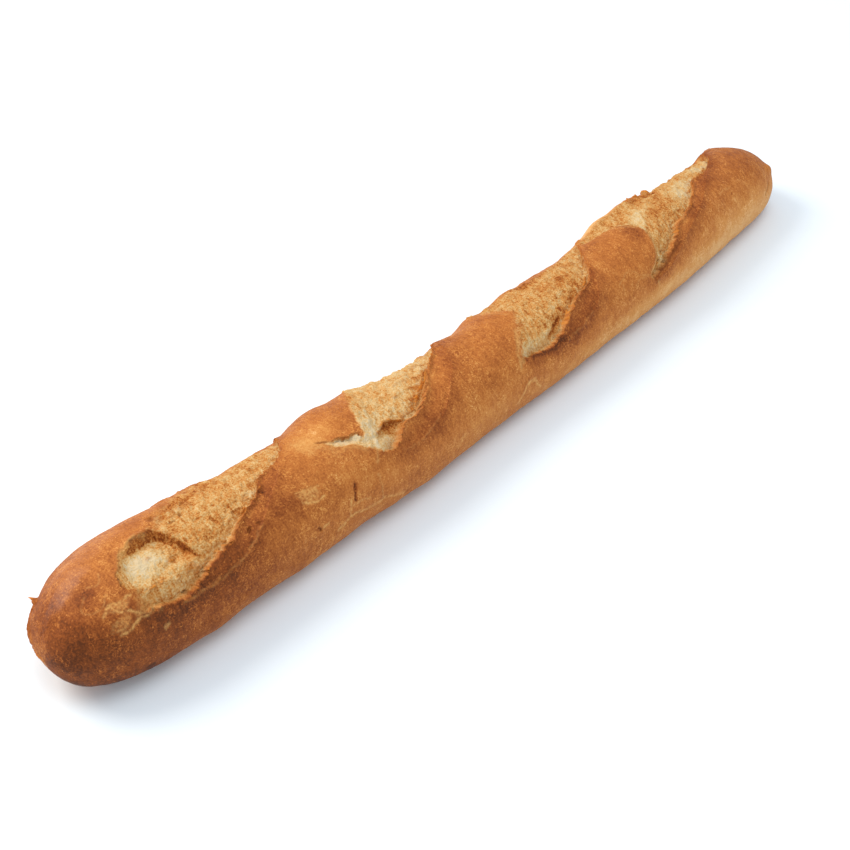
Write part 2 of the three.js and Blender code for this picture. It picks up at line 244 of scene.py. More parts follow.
CRUMB_CLIMB = 12.0                # how far from the lip the crumb has its upper tone
CRUMB_TONES = [
    (-0.50, -238, 72, 9, 15),     # white crumb in the pocket
    (-0.30, -243, 84, 6, 7),
    (-0.36, -229, 74, 6, 9),
    (-0.12, -234, 58, 10, 8),
    (0.09, -198, 60, 14, 9),
    (-0.10, -192, 101, 12, 8),
    (0.24, -202, 121, 15, 8),     # torn edge over the top
    (0.12, -172, 134, 20, 9),
    (-0.10, -168, 84, 7, 8),
    (-0.60, -111, 68, 12, 14),    # white gap and strands
    (-0.12, -98, 62, 7, 24),
    (0.28, -93, 118, 9, 22),
    (0.55, -83, 58, 7, 6),        # brown cave
    (0.40, -57, 73, 6, 6),        # toasted strip along the lip
    (0.40, -48, 87, 6, 6),
    (0.30, -39, 100, 6, 6),
    (0.28, -28, 116, 6, 8),
    (0.06, -72, 72, 12, 10),
    (-0.26, 18, 48, 8, 9),
    (-0.16, 36, 44, 14, 6),
    (0.30, 57, 58, 6, 6),         # toasted strip along the lip
    (0.30, 68, 67, 7, 6),
    (0.24, 80, 75, 8, 8),
    (0.16, 74, 98, 10, 9),
    (-0.22, 56, 70, 9, 5),
    (0.40, 64, 134, 12, 9),       # browned far lip
    (-0.40, 152, 100, 6, 12),     # white torn patches
    (-0.34, 161, 112, 7, 6),
    (-0.36, 146, 82, 4, 8),
    (0.12, 172, 92, 14, 12),
    (-0.22, 137, 34, 12, 6),
    (-0.36, 196, 92, 8, 22),
    (-0.30, 208, 106, 8, 10),
    (-0.44, 232, 120, 12, 9),
    (0.25, 225, 102, 5, 5),
    (0.25, 178, 136, 12, 6),
]

# ---- Marks: what each kind adds to the crust's height and shares ----

KINDS = {
    "seam": dict(pale=1.0, rise=-0.12),         # pale line where the crust stretched
    "skin": dict(pale=1.0, rise=-0.3),          # thin, stretched, sunken crust
    "rim": dict(rim=1.0, rise=0.3),             # torn orange edge
    "fold": dict(pale=0.36, rim=0.50, rise=0.2),     # pale orange ridge of a fold, with a painted highlight on its lit edge
    "flake": dict(rim=0.65, rise=1.3),
    "thorn": dict(rim=0.65, rise=1.3),
    # crack: a dent with painted shade in it, in the pit colour
    "crack": dict(pit=1.0, rise=-0.8),
    "groove": dict(toast_and_shading=0.4, rise=-0.9),       # soft brown furrow, the brown being painted shade
    "ridge": dict(toast_and_shading=-0.25, rise=0.45),      # pale strand
    # shade: painted shade in creases, hollows and under a lip; a few of its marks are darker brown spots
    "shade": dict(toast_and_shading=0.3),
    "sheen": dict(gloss=1.0),
}

# Kind, amount, x, angle, reach along, reach round
PATCHES = [
    ("sheen", 0.58, -268, 104, 12, 11),
    ("sheen", 0.30, -252, 122, 20, 12),
    ("skin", 0.70, -146, 45, 6, 6),
    ("seam", 0.80, -144.5, 11, 1.6, 2.0),
    ("seam", 0.50, -242, 15, 2, 3),
    ("seam", 0.40, -128, 90, 5, 12),
    ("seam", 0.30, -116, 68, 6, 6),
    ("seam", 0.80, 11, 7, 2.6, 3),
    ("skin", 0.45, -244, 38, 7, 5),
    ("skin", 0.42, -260, 36, 4, 4),
    ("skin", 0.42, -257, 50, 4, 4),
    ("seam", 0.70, 130, 29, 4, 5),
    ("shade", 0.25, -254, 46, 3.5, 5),
    ("rim", 1.00, -237, 48, 4.5, 2.4),
    ("rim", 0.70, -223, 61, 2.5, 5),
    ("rim", 0.60, -246, 45, 2.4, 3),
    ("rim", 0.60, -224, 40, 2.4, 3.5),
    ("rim", 0.60, -217, 45, 2.4, 3.5),
    ("rim", 0.50, -230, 76, 2, 3),
    ("rim", 0.60, 140, 112, 3, 3),
    ("rim", 0.60, -166, 80, 3, 3),
    ("rim", 0.50, -204, 112, 9, 5),
    ("rim", 0.45, -182, 124, 9, 4),
    ("rim", 0.50, -57, 106, 3.5, 2.5),
    ("rim", 0.50, -52, 116, 4, 2.5),
    ("rim", 0.45, -68, 88, 2, 2.5),
    ("rim", 0.45, -38, 124, 5, 4),
    ("rim", 0.65, -47, 103, 2.5, 4),
    ("rim", 0.60, -54, 88, 2, 4),
    ("rim", 0.60, -21, 158, 6, 6),
    # painted shade in a crease of the crumb
    ("shade", 0.60, -65, 63, 5, 3),
    ("rim", 0.45, 63, 90, 3, 3),
    ("rim", 0.50, 75, 103, 5, 2.5),
    ("rim", 0.55, 90, 118, 5, 4),
    # painted shade in two hollows of the crumb
    ("shade", 0.60, -53, 88, 3, 4),
    ("shade", 0.50, -71, 101, 3, 3),
    ("crack", 1.00, -148, 11.5, 1.0, 1.8),
    ("crack", 0.40, 49.5, 15.5, 0.7, 1.3),
    ("shade", 0.60, -253, -20, 3, 3),
    ("shade", 0.60, 225, 45, 1.0, 2.0),
    ("flake", 1.40, 176, 141, 8, 4),
    ("flake", 1.80, 189.5, 146, 2, 4),
    ("thorn", 2.30, -275, 153, 1.3, 3.0),
    ("flake", 0.60, -288.5, 178, 1.0, 5),
    ("flake", 0.35, 262, 142, 2.5, 4),
    ("flake", 0.35, 90, 150, 8, 5),
    ("flake", 0.45, 70, 144, 9, 4),
    ("flake", 0.60, -181, 149, 8, 4),
    ("flake", 0.50, -199, 147, 5, 4),
    ("flake", 1.10, 114.5, 140, 2, 4),
]

# Kind, amount, width in mm, places along the line
STROKES = [
    ("seam", 1.00, 0.9, [(-138, -3), (-133, 0), (-129, 3), (-123, 1), (-118, -2), (-112, -4), (-106, -3)]),
    ("seam", 0.80, 0.6, [(-129, 3), (-129, 10), (-127, 18)]),
    ("seam", 0.60, 0.6, [(-127, 12), (-120, 12), (-115, 8)]),
    ("seam", 0.50, 0.5, [(-107, -3), (-107, 8), (-107, 25)]),
    ("seam", 0.80, 0.9, [(-103, -5), (-97, -10), (-92, -14)]),
    ("seam", 0.55, 0.8, [(-105, 36), (-102, 41), (-100, 45)]),
    ("seam", 0.45, 0.6, [(-50, -9), (-47, 0), (-46, 4)]),
    ("seam", 0.40, 0.5, [(-48, 2), (-42, 2)]),
    ("seam", 1.00, 0.7, [(0, -9), (4, 0), (8, 8), (12, 8), (16, 2), (20, -8)]),
    ("seam", 0.40, 0.5, [(100, 42), (106, 45), (112, 48), (116, 40), (118, 34), (124, 30)]),
    ("seam", 0.40, 0.5, [(101, 28), (103, 39)]),
    ("seam", 0.40, 0.5, [(112, 26), (118, 31), (126, 26)]),
    ("seam", 0.65, 0.7, [(131, 15), (132, 6), (131, -6)]),
    ("seam", 0.60, 0.5, [(27, 97), (24, 106), (21, 118), (20, 130)]),
    ("seam", 0.70, 1.2, [(7, 30), (8, 39), (11, 49), (16, 61), (20, 72)]),
    ("seam", 0.60, 0.7, [(133, 112), (136, 104), (140, 94), (142, 86)]),
    ("seam", 0.60, 2.4, [(-133, 100), (-127, 86), (-120, 74), (-112, 64), (-106, 54)]),
    ("seam", 0.95, 0.6, [(-152, 42), (-148, 38), (-144, 36), (-140, 36)]),
    ("seam", 0.75, 0.5, [(-152, 52), (-146, 50), (-139, 47)]),
    ("seam", 0.35, 0.5, [(-268, 60), (-262, 58), (-258, 66)]),
    ("seam", 0.25, 0.5, [(-266, 78), (-270, 68), (-268, 60)]),
    ("seam", 0.35, 0.5, [(-262, 84), (-257, 78), (-254, 86)]),
    ("seam", 0.95, 0.7, [(-264, 50), (-260, 55), (-254, 53), (-250, 52)]),
    ("seam", 0.95, 0.8, [(-260, 55), (-258, 47), (-254, 42), (-250, 38)]),
    ("seam", 0.85, 0.7, [(-262, 29), (-258, 29), (-252, 33), (-248, 31)]),
    ("seam", 0.35, 0.6, [(-254, 42), (-261, 40)]),
    ("seam", 0.60, 0.9, [(-249, 66), (-247, 76), (-243, 85), (-236, 94), (-229, 100), (-223, 99)]),
    ("seam", 0.45, 0.7, [(215, 52), (221, 54), (226, 52)]),
    # Painted highlights on the lit edges of the folds
    ("fold", 0.90, 0.5, [(-88, 32), (-82, 29.5), (-74, 29), (-66, 32.5), (-56, 39)]),
    ("fold", 0.80, 0.5, [(46, 26), (54, 27), (62, 30.5), (72, 36)]),
    ("fold", 1.00, 0.6, [(-230, 24), (-212, 24.5), (-198, 27.5), (-186, 34.5), (-176, 45)]),
    ("ridge", 1.00, 1.0, [(-99, 46), (-96, 62), (-91, 80), (-88, 92)]),
    ("ridge", 0.70, 0.8, [(-98, 50), (-92, 68), (-86, 80)]),
    ("ridge", 0.60, 0.8, [(-76, 66), (-73, 78), (-69, 88)]),
    ("ridge", 0.60, 0.9, [(150, 84), (154, 94), (157, 106)]),
    ("flake", 0.60, 1.8, [(-276, 153), (-279, 155), (-283, 156), (-286.5, 160), (-288, 172)]),
    ("rim", 0.70, 0.9, [(-215, 37), (-210, 41), (-203, 44), (-196, 48)]),
    # thin orange line along the first fold, partly a painted highlight
    ("rim", 0.25, 0.4, [(-248, 31), (-240, 27.5), (-228, 24.5), (-218, 25)]),
    ("rim", 0.40, 0.8, [(-228, 101), (-222, 101), (-216, 94), (-212.5, 82), (-211, 70)]),
    ("rim", 0.50, 0.5, [(-98, 40), (-92, 38), (-87, 41), (-82, 48)]),
    ("rim", 0.90, 0.8, [(-93, 60), (-89, 65), (-83, 67), (-79, 63), (-75, 57), (-69, 53.5), (-63, 58)]),
    ("rim", 0.95, 2.6, [(-64, 62), (-58, 71), (-52, 80), (-46, 89)]),
    ("rim", 0.85, 2.4, [(-46, 89), (-40, 99), (-32, 110), (-25, 122)]),
    ("rim", 0.90, 1.3, [(48, 40), (53, 45.5), (58, 52), (64, 58), (71, 63)]),
    ("rim", 0.80, 1.2, [(71, 63), (79, 67.5), (86, 75), (90, 86)]),
    # painted shadow under the third score's lip, over its browned band
    ("shade", 0.80, 1.5, [(18, 33), (24, 30.5), (30, 28), (38, 28), (45, 30)]),
    ("crack", 0.50, 0.5, [(-124, 86), (-120, 79)]),
    ("groove", 1.00, 0.8, [(-124.5, 15), (-123.4, 22), (-122, 30)]),
    ("crack", 0.35, 0.4, [(39.5, 28), (39.3, 20), (38, 8)]),
    ("crack", 0.60, 0.9, [(135, 22.5), (140, 24.5), (147, 29), (154, 33.5), (160, 35.5)]),
    ("crack", 0.45, 0.8, [(128.8, 21), (129.5, 14)]),
    # painted shadow under the second flap, along the gap's upper edge
    ("crack", 0.35, 0.5, [(-119, 76.5), (-116, 74.5), (-112, 75.5), (-108, 71.5), (-103.5, 69), (-103, 62)]),
    ("crack", 0.30, 0.5, [(7, 29), (9, 34)]),
    ("crack", 0.50, 1.0, [(262, 8), (265, 13), (269, 22)]),
    # painted shade in a hollow just inside the third score's lip
    ("groove", 1.30, 1.9, [(38, 40), (44, 45.5), (50, 52)]),
    # painted shade along the pocket's left wall, and in the crease between its right wall and the crumb
    ("groove", 0.60, 0.8, [(-249.5, 58), (-249, 68), (-244.5, 80), (-240, 87), (-234, 93)]),
    ("groove", 0.55, 0.9, [(-215, 78), (-213.5, 69), (-212, 60), (-209.5, 51)]),
    ("groove", 0.50, 0.8, [(133, 26), (138, 30.5), (143, 36), (147, 39)]),
    ("groove", 0.50, 0.8, [(-164, 70), (-168, 76)]),
]

# Round holes with painted shade in them: x, angle, radius, depth
HOLES = [
    (-184, 46, 1.5, 1.4), (-177, 47, 1.2, 0.5), (-199, 40, 0.7, 0.6), (-213, 28, 0.7, 0.5),
    (-224, 30, 1.0, 1.1), (-214, 113, 1.5, 1.0), (-202, 103, 1.6, 1.4), (-207, 99, 1.3, 0.9),
    (-196, 116, 1.1, 0.8), (-245, 39, 0.9, 0.7), (-71, 34, 0.5, 0.4), (-66, 37, 0.5, 0.4),
    (-80, 37, 0.5, 0.4), (135, 29, 0.9, 0.7), (140, 33, 0.9, 0.7), (145, 38, 1.0, 0.7),
    (-111, 75, 0.7, 0.8), (-103, 66, 0.7, 0.8), (17, 36, 0.5, 0.4),
]

PATCH_END = 1.5                   # a patch ends at this many times its reach
PATCH_EDGE = 0.8                  # width over which it ends, as a share of its reach
STROKE_STRAY = 0.4                # the share of the straying that a stroke follows
STROKE_MARGIN = 3.0               # how far a stroke can reach beyond four of its widths
HOLE_END = 1.5                    # a hole ends at this many times its radius
# painted shade in a hole, as a share of the pit colour
HOLE_DARKNESS = 0.5

# ---- Fine relief: heights in mm ----

SKIN_WAVES = 0.40
SKIN_BUMPS = 0.16
SKIN_GRAIN = 0.06
CRUMB_STREAKS = 0.26
STREAK_WIDTH = 1.6
STREAK_LENGTH = 6.0
STREAK_LEAN = 0.35                # how far a streak moves along the loaf for each mm round it
CRUMB_PORES = 0.5
CRUMB_CRAGS = 0.60
BACK_CRAGS = 0.90                 # added from the top towards the back
TATTERS = 1.3                     # of the torn orange edges

# ---- Mesh: columns round the loaf as spans of (from, to, steps), and rows along it ----

ROUND_SPANS = [(-90, -35, 30), (-35, 160, 240), (160, 215, 50), (215, 270, 30)]
BODY_ROWS = 1000
NEAR_END_ROWS = 160
FAR_END_ROWS = 120
TIP_TURN = 0.01                   # how far the outermost rows stay from the tips, in radians
TIP_TONE = 0.5                    # browning at the tips
UV_MARGIN = 0.005                 # round each half of the loaf on the bake map


# ---- Curves ----

def smooth_value(points, x):
    """Values at x of the smooth curve through points of (x, value)."""
    px, py = np.array(points, float).T
    slope = np.empty_like(py)
    slope[1:-1] = (py[2:] - py[:-2]) / (px[2:] - px[:-2])
    slope[0] = (py[1] - py[0]) / (px[1] - px[0])
    slope[-1] = (py[-1] - py[-2]) / (px[-1] - px[-2])
    x = np.clip(x, px[0], px[-1])
    i = np.clip(np.searchsorted(px, x, side="right") - 1, 0, len(px) - 2)
    span = px[i + 1] - px[i]
    t = (x - px[i]) / span
    rise = t * t * (3 - 2 * t)
    bend = span * t * (1 - t) * ((1 - t) * slope[i] - t * slope[i + 1])
    return py[i] * (1 - rise) + py[i + 1] * rise + bend


def crust_line(places, steps=6):
    """Smooth line through places of (x, angle), with both coordinates as lengths on the crust."""
    p = np.array(places, float) * (1, ARC)
    p = np.vstack([2 * p[0] - p[1], p, 2 * p[-1] - p[-2]])
    line = []
    for a, b, c, d in zip(p[:-3], p[1:-2], p[2:-1], p[3:]):
        for t in np.arange(steps) / steps:
            line.append(0.5 * (2 * b + (c - a) * t + (2 * a - 5 * b + 4 * c - d) * t ** 2
                               + (3 * b - a - 3 * c + d) * t ** 3))
    line.append(p[-2])
    return np.array(line)


def ease(t):
    t = np.clip(t, 0, 1)
    return t * t * (3 - 2 * t)


def distance_to(line, x, v):
    nearest = np.full(x.shape, np.inf)
    for (ax, av), (bx, bv) in zip(line[:-1], line[1:]):
        ex, ev = bx - ax, bv - av
        t = np.clip(((x - ax) * ex + (v - av) * ev) / (ex * ex + ev * ev), 0, 1)
        nearest = np.minimum(nearest, (x - ax - t * ex) ** 2 + (v - av - t * ev) ** 2)
    return np.sqrt(nearest)


def is_between(line, other, x, v):
    """Is each point inside the loop that one line makes out and the other back?"""
    loop = np.vstack([line, other[::-1]])
    inside = np.zeros(x.shape, bool)
    for (ax, av), (bx, bv) in zip(loop, np.roll(loop, -1, axis=0)):
        if av != bv:
            inside ^= ((av > v) != (bv > v)) & (x < ax + (bx - ax) * (v - av) / (bv - av))
    return inside


# ---- Noise: smooth random numbers from -1 to 1 at points in millimetres ----

def hashed(ix, iy, iz, seed):
    """A random number from 0 to 1 for each cell of a lattice."""
    h = (ix * 374761393 + iy * 668265263 + iz * 1440662683 + seed * 974634777).astype(np.uint32)
    h = (h ^ (h >> np.uint32(13))) * np.uint32(1274126177)
    h = (h ^ (h >> np.uint32(15))) * np.uint32(2246822519)
    return (h ^ (h >> np.uint32(16))) / 4294967295.0


def noise(points, size, seed):
    p = points / size
    cell = np.floor(p).astype(np.int64)
    t = p - cell
    t = t * t * t * (t * (t * 6 - 15) + 10)
    total = np.zeros(len(points))
    for corner in np.ndindex(2, 2, 2):
        weight = np.prod(np.where(corner, t, 1 - t), axis=1)
        total += weight * hashed(*(cell + corner).T, seed)
    return 2 * total - 1


def layered_noise(points, size, seed, layers=3):
    total = sum(noise(points, size / 2 ** k, seed + k) / 2 ** k for k in range(layers))
    return total / 1.3


# ---- Body ----

def section_radius(girth, angle):
    belly = BELLY * HEIGHT * girth
    top = np.sin(angle) >= 0
    power = np.where(top, TOP_ROUNDNESS, BASE_ROUNDNESS)
    up_down = np.where(top, HEIGHT * girth - belly, belly + BASE_CUT)
    across = np.abs(np.cos(angle) / (HALF_WIDTH * girth)) ** power
    upright = np.abs(np.sin(angle) / up_down) ** power
    return (across + upright) ** (-1 / power)


def end_shape(end, from_middle):
    """How far into the rounded end, the share of the girth left there, and how steeply the surface closes."""
    power = end["exponent"]
    into = np.clip((from_middle - LENGTH / 2 + end["length"]) / end["length"], 0, 1)
    shrink = (1 - into ** power) ** (1 / power)
    steepness = HALF_WIDTH / end["length"] * (into / np.maximum(shrink, 0.01)) ** (power - 1)
    return into, shrink, steepness


def loaf_points(x, degrees, rise):
    """Points on the loaf; the relief stands square to the body, so along the loaf at its tips."""
    angle = np.radians(degrees)
    girth = smooth_value(GIRTH, x)
    near, near_shrink, near_steepness = end_shape(NEAR_END, -x)
    far, far_shrink, far_steepness = end_shape(FAR_END, x)
    tip_drop = (1 - NEAR_END["tip_height"]) * near ** 2 + (1 - FAR_END["tip_height"]) * far ** 2
    centre_z = BELLY * HEIGHT * girth * (1 - tip_drop)
    lean = NEAR_END["lean"] * near ** 2 + FAR_END["lean"] * far ** 2
    centre_y = SPINE_Y + SPINE_BEND * (x - SPINE_X) ** 2 + lean
    steepness = far_steepness - near_steepness
    outward = rise / np.hypot(1, steepness)
    radius = section_radius(girth, angle) * near_shrink * far_shrink + outward
    z = centre_z + radius * np.sin(angle)
    return np.stack([x + outward * steepness, centre_y - radius * np.cos(angle), np.maximum(z, 0)], axis=1)


def round_angles():
    spans = [np.linspace(start, stop, steps, endpoint=False) for start, stop, steps in ROUND_SPANS]
    return np.concatenate(spans)


def row_places():
    """Rows along the loaf, closer together towards its tips."""
    near_root = -LENGTH / 2 + NEAR_END["length"]
    far_root = LENGTH / 2 - FAR_END["length"]
    near_turn = np.linspace(TIP_TURN, np.pi / 2, NEAR_END_ROWS, endpoint=False)
    far_turn = np.linspace(0, np.pi / 2 - TIP_TURN, FAR_END_ROWS + 1)[1:]
    near = near_root - NEAR_END["length"] * np.cos(near_turn)
    far = far_root + FAR_END["length"] * np.sin(far_turn)
    return np.concatenate([near, np.linspace(near_root, far_root, BODY_ROWS), far])


def strayed(places, points, seed):
    """The places moved by noise, so that marks get uneven outlines."""
    return places + 1.8 * noise(points, 5, seed) + 0.9 * noise(points, 1.7, seed + 1)


class Crust:
    """The loaf's points on the grid, their height over the smooth body, and what covers them."""

    SHARES = ("crumb", "toast_and_shading", "pale", "rim", "pit", "gloss")

    def __init__(self):
        rows, columns = row_places(), round_angles()
        self.shape = len(rows), len(columns)
        self.x, self.angle = (grid.ravel() for grid in np.meshgrid(rows, columns, indexing="ij"))
        self.v = self.angle * ARC
        self.body = loaf_points(self.x, self.angle, np.zeros(len(self.x)))
        self.rise = np.zeros(len(self.x))
        for share in self.SHARES:
            setattr(self, share, np.zeros(len(self.x)))
        self.stray_x = strayed(self.x, self.body, 71)
        self.stray_v = strayed(self.v, self.body, 73)

    def add(self, where, kind, covers):
        """Adds what a kind of mark does, as strongly as it covers each point."""
        for name, amount in KINDS[kind].items():
            values = getattr(self, name)
            if name in ("rise", "toast_and_shading"):
                values[where] += amount * covers
            else:
                values[where] = np.maximum(values[where], amount * covers)


# ---- Relief of the scores ----

def with_lines(feature):
    lines = {key + "_line": crust_line(feature[key]) for key in ("lip", "far", "fold") if key in feature}
    return {**feature, **lines}


def near_lines(crust, lines, margin):
    """Which points lie near the lines: a feature leaves the others alone."""
    loop = np.vstack(lines)
    low, high = loop.min(axis=0) - margin, loop.max(axis=0) + margin
    return (crust.x > low[0]) & (crust.x < high[0]) & (crust.v > low[1]) & (crust.v < high[1])


def opening(feature, x, v, jags):
    """Signed distance from the torn lip, positive in the opening; distance to the far edge; and whether
    a point lies between the two lines as they were before the lip was torn.
    """
    to_lip = distance_to(feature["lip_line"], x, v)
    to_far = distance_to(feature["far_line"], x, v)
    inside = is_between(feature["lip_line"], feature["far_line"], x, v)
    by_lip = ease((to_far - to_lip) / JAGS_FROM_FAR) * ease(1 - to_lip / JAGS_REACH)
    torn = np.where(inside, to_lip, -to_lip) + jags * by_lip
    return np.where(inside | (by_lip > 0), torn, -np.minimum(to_lip, to_far)), to_far, inside


class ScorePlaces:
    """Where the points near a score lie in it.

    into: signed distance from the torn lip; torn: in the opening; band: between lip and fold;
    flap: all the crust below the torn lip; along: 0 at the fold's start, 1 halfway and 2 at its end.
    """

    def __init__(self, crust, score, jags):
        lip, far, fold = score["lip_line"], score["far_line"], score["fold_line"]
        self.near = near_lines(crust, (lip, far), SCORE_MARGIN)
        x, v = crust.x[self.near], crust.v[self.near]
        self.jags = jags[self.near]
        self.into, self.to_far, inside = opening(score, x, v, self.jags)
        self.to_fold = distance_to(fold, x, v)
        below_lip = is_between(lip, fold, x, v) & ~inside
        self.torn = (self.into > 0) & (inside | below_lip)
        self.band = below_lip & ~self.torn
        self.flap = self.band | (inside & (self.into <= 0))
        start, end = fold[0, 0], fold[-1, 0]
        self.along = 2 * (x - start) / (end - start)
        self.stands = ease((x - start) / EAR_START)


def add_score_relief(crust, score, at):
    ear = score["ear"] * at.stands
    heal = ease(at.to_far / score["heal"])
    level = -(score["floor"] + score["depth"] * np.exp(-np.maximum(at.into, 0) / score["reach"]))
    rise_in = (ear + (level - ear) * ease(at.into / WALL)) * heal
    sharp, blunt = FOLD_STEP_WIDTH
    step_width = sharp + (blunt - sharp) * ease(at.along)
    step = FOLD_STEP * ease(at.to_fold / step_width) * ease(-at.into / FOLD_STEP_FROM_LIP)
    rise_flap = ear * np.exp(np.minimum(at.into, 0) / EAR_REACH) - step
    rise_out = FOLD_SWELL * np.exp(-at.to_fold / FOLD_SWELL_REACH)
    crust.rise[at.near] += np.where(at.torn, rise_in, np.where(at.flap, rise_flap, rise_out))


def add_score_browning(crust, score, at):
    """Crumb in the opening with its tones, and browning of the crust along the fold."""
    far_jags = np.minimum(FAR_JAGS * at.jags * score["soft"], 0)
    crumb = np.where(at.torn, ease(at.into / WALL) * ease((at.to_far + far_jags) / score["soft"]), 0)
    crust.crumb[at.near] = np.maximum(crust.crumb[at.near], crumb)
    climb = score["foot"] + (score["top"] - score["foot"]) * ease(at.into / CRUMB_CLIMB) - CRUST_TONE
    shade = score["shade"] * np.exp(-(at.to_fold / SHADE_REACH) ** 2)
    shade = np.where(at.band, BAND_SHADE * shade + score["band"], shade)
    left = 1 - score["fade"] * ease(at.along - FADE_START)
    crust.toast_and_shading[at.near] += np.where(at.torn, climb * crumb, shade * left)


def add_score_rim(crust, at):
    """Orange along the torn lip, and flecks of it in the crumb."""
    strength = at.stands * ease((at.to_far - RIM_FROM_FAR) / RIM_GROWTH)
    edge = strength * np.exp(-((at.into - RIM_PLACE) / RIM_WIDTH) ** 2)
    speckled = ease((noise(crust.body[at.near], FLECK_SIZE, 91) - 0.2) / 0.3)
    flecks = strength * np.exp(-((at.into - FLECK_PLACE) / FLECK_REACH) ** 2) * speckled
    share = np.maximum(RIM_SHARE * edge, FLECK_SHARE * flecks * (at.into > 0))
    crust.rim[at.near] = np.maximum(crust.rim[at.near], share)


def add_score(crust, score, jags):
    at = ScorePlaces(crust, score, jags)
    add_score_relief(crust, score, at)
    add_score_browning(crust, score, at)
    add_score_rim(crust, at)


def add_hollow(crust, hollow, jags):
    near = near_lines(crust, (hollow["lip_line"], hollow["far_line"]), HOLLOW_MARGIN)
    x = (crust.x[near] + crust.stray_x[near]) / 2
    v = (crust.v[near] + crust.stray_v[near]) / 2
    into, to_far = opening(hollow, x, v, jags[near])[:2]
    depth = smooth_value(hollow["depth"], crust.x[near]) * np.exp(-np.maximum(into, 0) / hollow["reach"])
    sunk = depth * ease(into / hollow["wall"]) * ease(to_far / HOLLOW_HEAL)
    rim = hollow["rim"] * np.exp(np.minimum(into, 0) / HOLLOW_RIM_REACH)
    crust.rise[near] += np.where(into > 0, -sunk, rim)
    crumb = ease(into / WALL) * ease(to_far / HOLLOW_SOFT) * (into > 0)
    crust.crumb[near] = np.maximum(crust.crumb[near], crumb)
    wall_foot = ease((hollow["wall"] + 1 - into) / HOLLOW_BROWN_EDGE)
    on_wall = (into > 0) * wall_foot * ease(to_far / HOLLOW_BROWN_HEAL)
    crust.toast_and_shading[near] += smooth_value(hollow["brown"], crust.x[near]) * on_wall


# ---- Marks ----

def add_tones(crust, tones, share):
    for amount, x, angle, along, around in tones:
        crust.toast_and_shading += share * amount * np.exp(-((crust.stray_x - x) / along) ** 2
                                               - ((crust.stray_v / ARC - angle) / around) ** 2)


def add_patch(crust, kind, amount, x, angle, along, around):
    reach = np.hypot((crust.stray_x - x) / along, (crust.stray_v / ARC - angle) / around)
    near = reach < PATCH_END
    edge = PATCH_END if kind == "thorn" else PATCH_EDGE      # a thorn rises to a point, the others are flat
    crust.add(near, kind, amount * ease((PATCH_END - reach[near]) / edge))


def add_stroke(crust, kind, amount, width, places):
    line = crust_line(places)
    near = near_lines(crust, (line,), 4 * width + STROKE_MARGIN)
    x = crust.x[near] + STROKE_STRAY * (crust.stray_x - crust.x)[near]
    v = crust.v[near] + STROKE_STRAY * (crust.stray_v - crust.v)[near]
    crust.add(near, kind, amount * np.exp(-(distance_to(line, x, v) / width) ** 2))


def add_hole(crust, x, angle, radius, depth):
    away = np.hypot(crust.stray_x - x, crust.stray_v - angle * ARC) / radius
    sunk = ease(HOLE_END - away)
    crust.rise -= depth * sunk
    # painted shade in the hole
    crust.pit = np.maximum(crust.pit, HOLE_DARKNESS * sunk)


# ---- Fine relief: each noise has its own size and seed ----

def add_skin_relief(crust):
    relief = SKIN_WAVES * layered_noise(crust.body, 22, 31)
    relief += SKIN_BUMPS * noise(crust.body, 6, 37)
    relief += SKIN_GRAIN * noise(crust.body, 1.8, 41)
    crust.rise += (1 - crust.crumb) * relief


def add_crumb_relief(crust):
    """Streaks up from the lip, crags that grow towards the back, and pores."""
    across = (crust.x - STREAK_LEAN * crust.v) / STREAK_WIDTH
    leaning = np.stack([across, crust.v / STREAK_LENGTH, np.zeros(len(across))], axis=1)
    streaks = layered_noise(leaning, 1, 43, 2)
    crags = layered_noise(crust.body, 4.2, 51, 3)
    pores = ease((-noise(crust.body, 2.6, 61) - 0.35) / 0.3) * ease(2 * noise(crust.body, 11, 63) + 0.3)
    rough = CRUMB_CRAGS + BACK_CRAGS * ease((crust.angle - 90) / 50)
    crust.rise += crust.crumb * (CRUMB_STREAKS * streaks + rough * crags - CRUMB_PORES * pores)
    # Browner where the streaks stand higher; painted shade in the pores and in the crags' lows, which are
    # browner than the crags' tops
    crust.toast_and_shading += crust.crumb * (0.10 * streaks - 0.10 * crags + 0.14 * pores)


def add_tatters(crust):
    """Torn edges: uneven in height, and broken into pieces."""
    tatters = layered_noise(crust.body, 2.4, 81, 3)
    crust.rise += TATTERS * crust.rim * tatters
    crust.rim *= np.clip(0.65 + 1.2 * tatters, 0, 1)


def build_crust():
    crust = Crust()
    crust.toast_and_shading += CRUST_TONE
    jags = JAGS * (0.9 * layered_noise(crust.body, 4.5, 11) + 1.1 * layered_noise(crust.body, 2.1, 17, 2))
    for score in SCORES:
        add_score(crust, with_lines(score), jags)
    for hollow in HOLLOWS:
        add_hollow(crust, with_lines(hollow), HOLLOW_JAGS * jags)
    for height, x, angle, along, around in SWELLS:
        crust.rise += height * np.exp(-((crust.x - x) / along) ** 2 - ((crust.angle - angle) / around) ** 2)
    add_tones(crust, CRUST_TONES, 1 - crust.crumb)
    add_tones(crust, CRUMB_TONES, crust.crumb)
    for patch in PATCHES:
        add_patch(crust, *patch)
    for stroke in STROKES:
        add_stroke(crust, *stroke)
    for hole in HOLES:
        add_hole(crust, *hole)
    add_skin_relief(crust)
    add_crumb_relief(crust)
    add_tatters(crust)
    return crust


# ---- Mesh ----

